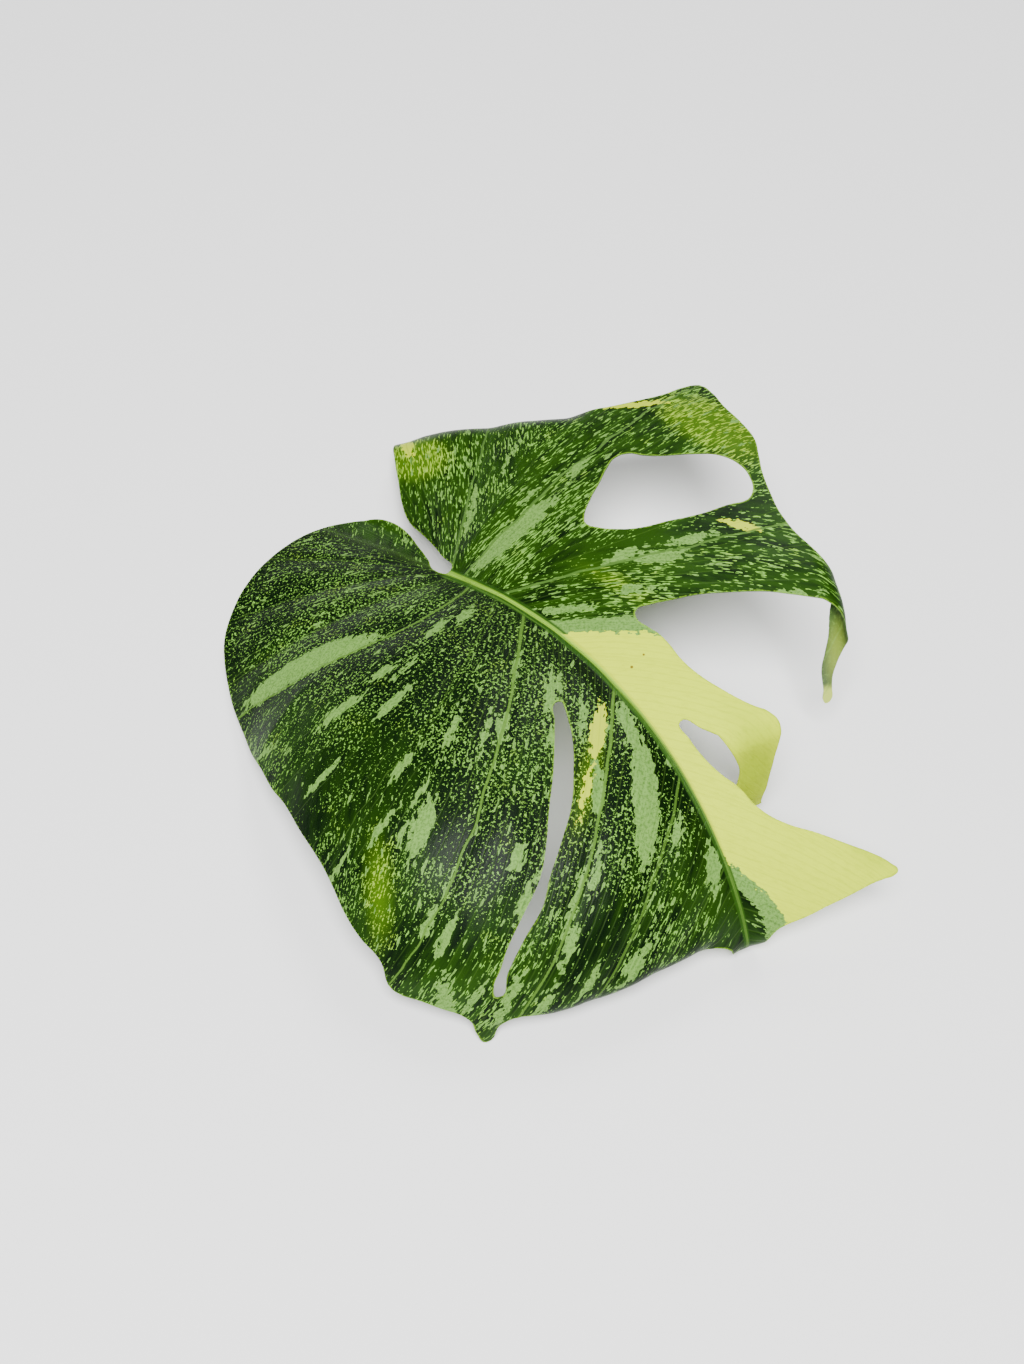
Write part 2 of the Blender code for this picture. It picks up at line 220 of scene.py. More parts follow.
# The blade's shape. The midrib arches downhill to the tip, each half slopes away from it, and the lobes
# droop at their ends, where a fold bends the sheet down beyond a line across it.
MIDRIB_LENGTH = 225.0
PITCH = (-23.0, 21.0, 64.0)
PITCH_BEHIND = 0.08
HEADING = (-4.0, 24.0)
SINUS_LEAN = 16.0
SINUS_BEND = 30.0
HALF_WIDTH = 140.0
RIGHT_SLOPE = (14.0, -8.0, -14.0)
LEFT_SLOPE = (12.0, -20.0, -35.0)
LAY_TURN = (-2.18, -2.98)
LAY_SHIFT = (-1.8, 68.5, 33.8)
MIDRIB_SPAN = (-130.0, 330.0)
MIDRIB_STATIONS = 921
HEADING_SPAN = (-0.3, 1.3)
SLOPE_STEPS = 24


# The regions that each fold of the leaf acts on.

def tail_region(u, v):
    return (v > 75.0) * smooth(u, 76.0, 104.0)


def basal_region(u, v):
    return (v > 0.0) * smooth(-u, 0.0, 25.0)


def hook_region(u, v):
    slit = 21.5 + 0.55 * (u - 160.0) + 0.0056 * (u - 160.0) ** 2
    return (v > slit) * (v < 85.0) * (u < 222.0) * 1.0


def apex_region(u, v):
    return smooth(-np.abs(v), -22.0, -10.0)


def point_region(u, v):
    return (v > 30.0) * (u > 198.0) * 1.0


def front_region(u, v):
    return smooth(-v, 8.0, 30.0) * smooth(v, -112.0, -92.0)


# A fold bends the leaf down beyond the line through `at`, across `toward`; slide skews it sideways, and
# twist turns what hangs about its own middle line, in degrees.
Fold = namedtuple("Fold", "region at toward radius turn slide twist")
FOLDS = (
    Fold(tail_region, (120.0, 91.0), (0.55, 0.84), 9.0, 88.0, -0.3, -75.0),
    Fold(basal_region, (-58.0, 60.0), (-0.53, 0.85), 16.0, 65.0, 0.0, 0.0),
    Fold(hook_region, (145.0, 30.0), (1.0, 0.0), 12.0, 60.0, -0.58, 0.0),
    Fold(apex_region, (222.0, 0.0), (1.0, 0.0), 9.0, 45.0, 0.0, 0.0),
    Fold(point_region, (206.0, 58.0), (0.6, 0.8), 8.0, -30.0, 0.0, 0.0),
    Fold(front_region, (212.0, -50.0), (1.0, 0.0), 8.0, 80.0, 0.0, 0.0),
)
TWIST_SPAN = (8.0, 34.0)
TWIST_LEAN = -0.14


def fold(u, v):
    """Fold the flat leaf; return the moved u and v and the height above the flat."""
    flat_u, flat_v = u, v
    height = np.zeros_like(u)
    for item in FOLDS:
        toward = np.array(item.toward) / np.hypot(*item.toward)
        beyond = (u - item.at[0]) * toward[0] + (v - item.at[1]) * toward[1]
        beyond = np.maximum(beyond, 0.0)
        weight = item.region(u, v) * (beyond > 0.0)
        turn = np.radians(abs(item.turn)) * weight
        angle = np.minimum(beyond / item.radius, turn)
        straight = beyond - angle * item.radius
        along = item.radius * np.sin(angle) + straight * np.cos(angle)
        drop = item.radius * (1.0 - np.cos(angle)) + straight * np.sin(angle)
        shift = np.where(weight > 0.0, along - beyond, 0.0)
        slide = item.slide * beyond * weight
        u = u + shift * toward[0] - slide * toward[1]
        v = v + shift * toward[1] + slide * toward[0]
        aside = (flat_v - item.at[1]) * toward[0] - (flat_u - item.at[0]) * toward[1] - TWIST_LEAN * beyond
        twist = np.radians(item.twist) * weight * smooth(beyond, *TWIST_SPAN)
        turned = aside * (np.cos(twist) - 1.0)
        out = aside * np.sin(twist)
        u = u - turned * toward[1] + out * np.sin(angle) * toward[0]
        v = v + turned * toward[0] + out * np.sin(angle) * toward[1]
        height = height - np.sign(item.turn) * drop + out * np.cos(angle)
    return u, v, height


def midrib_frames():
    """Walk along the midrib and return its stations, places, across and upward directions."""
    station = np.linspace(*MIDRIB_SPAN, MIDRIB_STATIONS)
    share = station / MIDRIB_LENGTH
    pitch = PITCH[0] + PITCH[1] * share + PITCH[2] * np.sign(share) * share ** 2
    pitch = np.radians(np.where(station < 0.0, PITCH[0] - PITCH_BEHIND * station, pitch))
    heading = np.radians(HEADING[0] + HEADING[1] * np.clip(share, *HEADING_SPAN))
    forward = np.stack((-np.sin(heading) * np.cos(pitch),
                        -np.cos(heading) * np.cos(pitch),
                        -np.sin(pitch)), axis=-1)
    step = (forward[1:] + forward[:-1]) / 2.0 * (station[1] - station[0])
    place = np.vstack((np.zeros(3), np.cumsum(step, axis=0)))
    place = place - place[np.argmin(np.abs(station))]
    across = np.stack((np.cos(heading), -np.sin(heading), np.zeros_like(heading)), axis=-1)
    upward = np.cross(forward, across)
    upward = upward * np.sign(upward[:, 2:3])
    return station, place, across, upward


def sloped(distance, slope):
    """Follow a half's slope outward; return the reach, the rise and the slope there."""
    reach = np.zeros_like(distance)
    rise = np.zeros_like(distance)
    for index in range(SLOPE_STEPS):
        share = (index + 0.5) / SLOPE_STEPS * distance / HALF_WIDTH
        angle = np.radians(slope[0] + slope[1] * share + slope[2] * share ** 2)
        reach = reach + np.cos(angle) * distance / SLOPE_STEPS
        rise = rise + np.sin(angle) * distance / SLOPE_STEPS
    share = distance / HALF_WIDTH
    return reach, rise, np.radians(slope[0] + slope[1] * share + slope[2] * share ** 2)


def lay(points):
    """Turn and shift the shaped leaf so that it rests on three points."""
    about_x, about_y = np.radians(LAY_TURN)
    turn_x = np.array(((1.0, 0.0, 0.0),
                       (0.0, np.cos(about_x), -np.sin(about_x)),
                       (0.0, np.sin(about_x), np.cos(about_x))))
    turn_y = np.array(((np.cos(about_y), 0.0, np.sin(about_y)),
                       (0.0, 1.0, 0.0),
                       (-np.sin(about_y), 0.0, np.cos(about_y))))
    return points @ (turn_y @ turn_x).T + np.array(LAY_SHIFT)


def shape(flat):
    """Carry flat points to their places on the arched leaf, in millimetres."""
    u, v, height = fold(flat[:, 0], flat[:, 1])
    station, place, across, upward = midrib_frames()
    place, across, upward = (
        np.stack([np.interp(u, station, table[:, axis]) for axis in range(3)], axis=-1)
        for table in (place, across, upward))
    centre = SINUS_LEAN * (1.0 - np.exp(np.minimum(u, 0.0) / SINUS_BEND))
    side = np.where(v >= centre, 1.0, -1.0)
    distance = np.abs(v - centre)
    right = sloped(distance, RIGHT_SLOPE)
    left = sloped(distance, LEFT_SLOPE)
    reach, rise, angle = (np.where(side > 0.0, r, l) for r, l in zip(right, left))
    sideways = centre + side * (reach - height * np.sin(angle))
    lift = rise + height * np.cos(angle)
    return lay(place + sideways[:, None] * across + lift[:, None] * upward)


laid = shape(flat)
blade.data.vertices.foreach_set("co", laid.ravel())
blade.data.update()

# The blade's relief. It swells between its veins, the midrib stands up as a rounded cord in a shallow
# trough, and the whole sheet is a little uneven.
PLEAT_HEIGHT = 1.5
PLEAT_SHARE = 0.05
VEIN_HALF_WIDTH = 0.8
VEIN_HEIGHT = 0.25
MIDRIB_HALF_WIDTH = (2.3, 0.8)
MIDRIB_HEIGHT = 0.7
WAVES = ((24.0, 0.6), (9.0, 0.16))
TAIL_AXIS = ((128.0, 100.0), (0.72, 0.69))
TAIL_CUP = 0.055

along = np.clip(u / MIDRIB_LENGTH, 0.0, 1.0)
part = vein - np.floor(vein)
pleat = np.minimum(PLEAT_HEIGHT, PLEAT_SHARE * gap) * np.sin(pi * part) ** 0.8
pleat = pleat * smooth(np.abs(v), 2.0, 14.0) * (0.25 + 0.75 * smooth(to_edge, 0.0, 16.0))
from_vein = np.minimum(part, 1.0 - part) * gap
cord = VEIN_HEIGHT * strength * np.exp(-(from_vein / VEIN_HALF_WIDTH) ** 2) * smooth(np.abs(v), 0.0, 4.0)
rib_half = MIDRIB_HALF_WIDTH[0] + (MIDRIB_HALF_WIDTH[1] - MIDRIB_HALF_WIDTH[0]) * along
on_rib = np.sqrt(np.clip(1.0 - (v / rib_half) ** 2, 0.0, 1.0)) * smooth(u, -3.0, 4.0)
wave = np.array([sum(size * noise.noise((x / length, y / length, length)) for length, size in WAVES)
                 for x, y in flat])
across_tail = (u - TAIL_AXIS[0][0]) * TAIL_AXIS[1][1] - (v - TAIL_AXIS[0][1]) * TAIL_AXIS[1][0]
cup = -TAIL_CUP * across_tail ** 2 * tail_region(u, v) * smooth(u, 122.0, 134.0)
height = pleat + cord + on_rib * MIDRIB_HEIGHT * (1.0 - 0.5 * along) + wave + cup
normals = np.zeros(count * 3)
blade.data.vertex_normals.foreach_get("vector", normals)
normals = normals.reshape(-1, 3)
laid = laid + normals * height[:, None]

# The underside carries the rib, a rounded keel, and a low cord under each vein.
BLADE_THICKNESS = 0.45
KEEL_DEPTH = (3.9, 0.8)
KEEL_HALF_WIDTH = (3.6, 1.5)
CORD_DEPTH = 0.9
CORD_HALF_WIDTH = 1.3
RESTING_HEIGHT = 0.12

keel_half = KEEL_HALF_WIDTH[0] + (KEEL_HALF_WIDTH[1] - KEEL_HALF_WIDTH[0]) * along
keel_depth = KEEL_DEPTH[0] + (KEEL_DEPTH[1] - KEEL_DEPTH[0]) * along
keel = keel_depth * np.sqrt(np.clip(1.0 - (v / keel_half) ** 2, 0.0, 1.0)) * smooth(u, -1.0, 5.0)
under_cord = CORD_DEPTH * strength * np.exp(-(from_vein / CORD_HALF_WIDTH) ** 2)
under_cord = under_cord * (1.0 - 0.6 * np.clip(np.abs(v) / HALF_WIDTH, 0.0, 1.0)) * smooth(to_edge, 0.5, 8.0)
thick = BLADE_THICKNESS + np.maximum(keel, under_cord * smooth(np.abs(v), 0.0, 4.0))
full = thick.max()

laid[:, 2] += RESTING_HEIGHT - (laid[:, 2] - thick * np.abs(normals[:, 2])).min()
blade.data.vertices.foreach_set("co", (laid * MM).ravel())
blade.data.update()
for name, values in (("vein", vein), ("gap", gap), ("strength", strength), ("to_edge", to_edge)):
    blade.data.attributes.new(name, "FLOAT", "POINT").data.foreach_set("value", values)

keel_group = blade.vertex_groups.new(name="thickness")
for index, share in enumerate(thick / full):
    keel_group.add([index], float(share), "REPLACE")

# The pattern's own places, for the markings: one unit of the map is MAP_SIZE millimetres.
MAP_SIZE = 345.0
MAP_CORNER = (100.0, 160.0)
blade.data.uv_layers.active.name = "pattern"
corner_vertex = np.zeros(len(blade.data.loops), dtype=np.int32)
blade.data.loops.foreach_get("vertex_index", corner_vertex)
mapped = (flat + np.array(MAP_CORNER)) / MAP_SIZE
blade.data.uv_layers["pattern"].uv.foreach_set("vector", mapped[corner_vertex].ravel())

# The markings. Blotches without green lie along the veins. A large one runs from one place between the
# veins to another, at two distances from the midrib, and the small ones are scattered along the veins.
# The whole sector ahead of one vein on the right is bare yellow, and in gold zones the green turns warm.
# The last gold zone lies along the hooked strip that hangs down, where it darkens the yellow as painted
# shade.
Blotch = namedtuple("Blotch", "side from_vein near to_vein far half")
LARGE_PALE = (
    Blotch(1, 3.1, 8, 3.1, 50, 5.5), Blotch(1, 4.0, 45, 4.1, 60, 3.0), Blotch(1, 4.7, 3, 4.8, 16, 2.0),
    Blotch(-1, 2.9, 52, 2.8, 96, 7.0), Blotch(-1, 4.5, 90, 4.6, 108, 4.0),
    Blotch(-1, 5.4, 120, 6.0, 134, 4.5), Blotch(-1, 7.1, 4, 7.4, 12, 3.0),
    Blotch(-1, 7.4, 8, 7.8, 32, 5.5), Blotch(-1, 8.7, 4, 9.0, 8, 3.5))
LARGE_CREAM = (
    Blotch(-1, 6.8, 12, 6.7, 28, 3.0), Blotch(-1, 6.7, 32, 6.6, 46, 1.6),
    Blotch(1, 3.9, 84, 4.0, 90, 2.0), Blotch(1, 2.4, 124, 2.5, 130, 2.0),
    Blotch(1, 2.8, 112, 3.0, 126, 2.0), Blotch(1, 1.0, 54, 1.0, 62, 2.8))
Scatter = namedtuple("Scatter", "side veins out length half count")
PALE_SCATTER = (
    Scatter(1, (2.0, 4.9), (20, 100), (6, 18), (1.2, 2.8), 16),
    Scatter(-1, (3.2, 6.8), (12, 128), (6, 20), (1.2, 2.8), 34),
    Scatter(-1, (6.8, 9.0), (8, 110), (8, 26), (1.3, 2.8), 22))
CREAM_SCATTER = (Scatter(1, (2.2, 3.0), (100, 135), (5, 10), (1.2, 2.0), 5),)
SCATTER_SEED = 11


def on_vein(side, place, out):
    """The pattern's place that lies between two veins at a distance from the midrib."""
    veins = LEFT_VEINS if side < 0 else RIGHT_VEINS
    starts = [vein.start + vein.lean * out + vein.curl * out ** 2 for vein in veins]
    return float(np.interp(place, range(len(veins)), starts)), side * out


def blotch_rows(large, scatters, chance):
    """The two ends and the half-width of every blotch: the large ones, then the scattered ones."""
    rows = [(*on_vein(one.side, one.from_vein, one.near), *on_vein(one.side, one.to_vein, one.far), one.half)
            for one in large]
    for group in scatters:
        for _ in range(group.count):
            place = chance.uniform(*group.veins)
            near = chance.uniform(*group.out)
            start = on_vein(group.side, place, near)
            ahead = Vector(on_vein(group.side, place, near + 1.0)) - Vector(start)
            end = Vector(start) + ahead.normalized() * chance.uniform(*group.length)
            rows.append((*start, *end, chance.uniform(*group.half)))
    return rows


# Zones where the green turns warm, each given by two ends and a half-width. The last one lies along the
# hanging hooked strip and darkens the yellow there as painted shade.
GOLD_AND_SHADE_ZONES = (
    (104, -116, 148, -136, 7), (-74, 52, -50, 52, 14), (24, 128, 60, 122, 15), (55, 30, 85, 34, 4),
    (120, -20, 150, -50, 5), (134, 108, 149, 123, 3.5), (150, 34, 205, 60, 9))
SECTOR_START = 5.38
SECTOR_BAND = 5.02
SECTOR_FROM_RIB = (-3.0, 19.0, (174.0, 220.0))
BAND_FROM_RIB = (-3.0, 11.0, (188.0, 216.0))
WIDEST_GAP = 25.0
FAR_OUTSIDE = -20.0
NUB = (214.0, 63.5)
NUB_RADII = (2.0, 6.0)
NUB_DEPTH = 40.0
SPECKS = ((104.0, 10.0, 0.8), (103.0, 17.0, 0.6))
STREAKY_RIGHT = (-2.0, 6.0)
STREAKY_FRONT = (150.0, 200.0)
STREAKY_LEFT = (70.0, 130.0)


def blotches(u, v, rows):
    """Distance inside the nearest blotch in mm, negative outside it."""
    inside = np.full_like(u, FAR_OUTSIDE)
    for u1, v1, u2, v2, half in rows:
        run = np.array((u2 - u1, v2 - v1), dtype=float)
        length = np.hypot(*run)
        run = run / length
        ahead = (u - u1) * run[0] + (v - v1) * run[1] - length / 2.0
        aside = (u - u1) * run[1] - (v - v1) * run[0]
        reach = length / 2.0 + half * 0.6
        inside = np.maximum(inside, half * (1.0 - np.sqrt((ahead / reach) ** 2 + (aside / half) ** 2)))
    return inside


def ahead_of_vein(first, width, widening, where):
    """Distance inside the right half's part ahead of a place between veins and clear of the midrib."""
    from_rib = v - (width + widening * smooth(u, *where))
    inside = np.minimum((vein - first) * np.minimum(gap, WIDEST_GAP), from_rib)
    return np.where((v > 0.0) & (u > 0.0), inside, FAR_OUTSIDE)


chance = np.random.default_rng(SCATTER_SEED)
at_nub = smooth(-np.hypot(u - NUB[0], v - NUB[1]), -NUB_RADII[1], -NUB_RADII[0])
front_streaks = smooth(u, *STREAKY_FRONT) * 0.6 + smooth(-v, *STREAKY_LEFT) * 0.5
marks = {
    "pale": blotches(u, v, blotch_rows(LARGE_PALE, PALE_SCATTER, chance)),
    "cream": blotches(u, v, blotch_rows(LARGE_CREAM, CREAM_SCATTER, chance)),
    "gold_and_shade": np.clip(blotches(u, v, GOLD_AND_SHADE_ZONES), FAR_OUTSIDE, -FAR_OUTSIDE),
    "sector": ahead_of_vein(SECTOR_START, *SECTOR_FROM_RIB) - NUB_DEPTH * at_nub,
    "band": ahead_of_vein(SECTOR_BAND, *BAND_FROM_RIB),
    "streaky": np.maximum(smooth(v, *STREAKY_RIGHT), front_streaks),
}
for name, values in marks.items():
    blade.data.attributes.new(name, "FLOAT", "POINT").data.foreach_set("value", values)

# The leaf's skin. Living green tissue is flecked with cells that lost their green; the veins, midrib and
# edge are paler and firm, and the whole has a thin waxy cuticle. The underside is paler and duller.


class Wire:
    """A socket of a material. Sums on wires add Math nodes, and node() adds any other node."""

    def __init__(self, tree, socket=None):
        self.tree = tree
        self.socket = socket

    def node(self, kind, settings, inputs, output=0):
        made = self.tree.nodes.new(kind)
        for name, value in settings.items():
            setattr(made, name, value)
        for key, value in inputs.items():
            if isinstance(value, Wire):
                self.tree.links.new(value.socket, made.inputs[key])
            else:
                made.inputs[key].default_value = value
        return Wire(self.tree, made.outputs[output])

    def math(self, operation, *others):
        """Add a Math node that takes this wire first."""
        return self.node("ShaderNodeMath", {"operation": operation}, dict(enumerate((self, *others))))

    def __add__(self, other):
        return self.math("ADD", other)

    def __sub__(self, other):
        return self.math("SUBTRACT", other)

    def __rsub__(self, other):
        return self.node("ShaderNodeMath", {"operation": "SUBTRACT"}, {0: other, 1: self})

    def __mul__(self, other):
        return self.math("MULTIPLY", other)

    def __truediv__(self, other):
        return self.math("DIVIDE", other)

    __radd__ = __add__
    __rmul__ = __mul__

    def ramp(self, low, high):
        """Go smoothly from 0 at low to 1 at high."""
        return self.node("ShaderNodeMapRange", {"interpolation_type": "SMOOTHSTEP"},
                         {0: self, 1: low, 2: high, 3: 0.0, 4: 1.0})

    def fade(self, low, high):
        """Go smoothly from 1 at low to 0 at high."""
        return self.node("ShaderNodeMapRange", {"interpolation_type": "SMOOTHSTEP"},
                         {0: self, 1: low, 2: high, 3: 1.0, 4: 0.0})

    def blend(self, plain, marked):
        """Mix two colours, with this wire as the share of the second."""
        return self.node("ShaderNodeMix", {"data_type": "RGBA"}, {0: self, 6: plain, 7: marked}, output=2)

    def cloud(self, scale, detail=2.0, roughness=0.5):
        """Flat noise over a place, at a scale per millimetre."""
        return self.node("ShaderNodeTexNoise", {"noise_dimensions": "2D"},
                         {"Vector": self, "Scale": scale, "Detail": detail, "Roughness": roughness})

    def attribute(self, name):
        return self.node("ShaderNodeAttribute", {"attribute_name": name}, {}, output=2)


# Colours are given as light, from 0 to 1.
DEEP_GREEN = (0.0008, 0.006, 0.0004, 1.0)
LEAF_GREEN = (0.004, 0.018, 0.0004, 1.0)
FRESH_GREEN = (0.0115, 0.041, 0.0012, 1.0)
GOLD_GREEN = (0.055, 0.135, 0.001, 1.0)
FLECK = (0.17, 0.38, 0.055, 1.0)
WARM_FLECK = (0.28, 0.44, 0.02, 1.0)
PALE = (0.14, 0.28, 0.055, 1.0)
PALE_STREAK = (0.045, 0.115, 0.018, 1.0)
CREAM = (0.42, 0.52, 0.01, 1.0)
YELLOW = (0.55, 0.68, 0.0, 1.0)
# The deeper yellow: the sector's own deeper tone and its rim, and painted shade on the hanging hooked strip.
DEEP_AND_SHADED_YELLOW = (0.33, 0.44, 0.0, 1.0)
YELLOW_VEIN = (0.40, 0.52, 0.0, 1.0)
BROWN_SPECK = (0.16, 0.11, 0.01, 1.0)
VEIN_GREEN = (0.075, 0.165, 0.02, 1.0)
RIGHT_VEIN_GREEN = (0.062, 0.138, 0.022, 1.0)
MIDRIB_PALE = (0.24, 0.46, 0.03, 1.0)
MIDRIB_GREEN = (0.014, 0.05, 0.003, 1.0)
RIM_GREEN = (0.18, 0.36, 0.02, 1.0)
UNDER_GREEN = (0.045, 0.105, 0.012, 1.0)
UNDER_DEEP = (0.018, 0.052, 0.005, 1.0)
UNDER_PALE = (0.15, 0.29, 0.045, 1.0)
UNDER_GOLD = (0.24, 0.33, 0.02, 1.0)
DRIP_TIP = (0.45, 0.56, 0.06, 1.0)
UNDER_YELLOW = (0.52, 0.62, 0.01, 1.0)
KEEL_GREEN = (0.17, 0.32, 0.04, 1.0)
FINE_VEINS = 7.0
TOP_BUMP = 0.00018
UNDER_BUMP = 0.0002
TOP_GLOSS = 0.07


def new_material(name):
    material = bpy.data.materials.new(name)
    material.use_nodes = True
    return material, Wire(material.node_tree), material.node_tree.nodes["Principled BSDF"]


def finish_material(start, shader, skin, roughness, relief, depth):
    """Link the colour, the roughness and a bump of the given depth in metres."""
    links = start.tree.links
    bump = start.node("ShaderNodeBump", {}, {"Height": relief, "Distance": depth, "Strength": 1.0})
    links.new(skin.socket, shader.inputs["Base Color"])
    links.new(roughness.socket, shader.inputs["Roughness"])
    links.new(bump.socket, shader.inputs["Normal"])


def leaf_fields(start):
    """The wires that both faces of the blade share."""
    chart = start.node("ShaderNodeUVMap", {"uv_map": "pattern"}, {})
    place = start.node("ShaderNodeVectorMath", {"operation": "SCALE"}, {0: chart, "Scale": MAP_SIZE})
    u = start.node("ShaderNodeSeparateXYZ", {}, {0: place}, output=0) - MAP_CORNER[0]
    v = start.node("ShaderNodeSeparateXYZ", {}, {0: place}, output=1) - MAP_CORNER[1]
    out = v.math("ABSOLUTE")
    vein = start.attribute("vein")
    return place, u, v, out, vein


def along_veins(start, u, out, vein, is_left, length, width, detail):
    """Noise drawn out along the veins: three sectors of the leaf, each with its own lean, blended."""
    layers = []
    for lean in (-0.8, 0.15, 1.0):
        size = (1.0 + lean * lean) ** 0.5
        ahead = (u * (lean / size) + out * (1.0 / size)) / length + is_left * 37.0
        aside = (u * (1.0 / size) - out * (lean / size)) / width
        place = start.node("ShaderNodeCombineXYZ", {}, {0: ahead, 1: aside, 2: 0.0})
        layers.append(place.cloud(1.0, detail, 0.55))
    first = vein.ramp(2.3, 2.8)
    second = vein.ramp(3.5, 4.1)
    low = layers[0] + (layers[1] - layers[0]) * first
    return low + (layers[2] - low) * second


def fine_veins(vein, gap, half_width):
    """The fine veins between the main ones, from 1 on a vein to 0 beside it."""
    off = (vein * FINE_VEINS).math("FRACT") - 0.5
    return (off.math("ABSOLUTE") * gap / FINE_VEINS).fade(0.0, half_width) * gap.ramp(7.0, 16.0)


def tail_end(u, v):
    """The hanging end of the tail, from 0 to 1."""
    return (u + v).ramp(278.0, 286.0) * u.fade(165.0, 180.0)


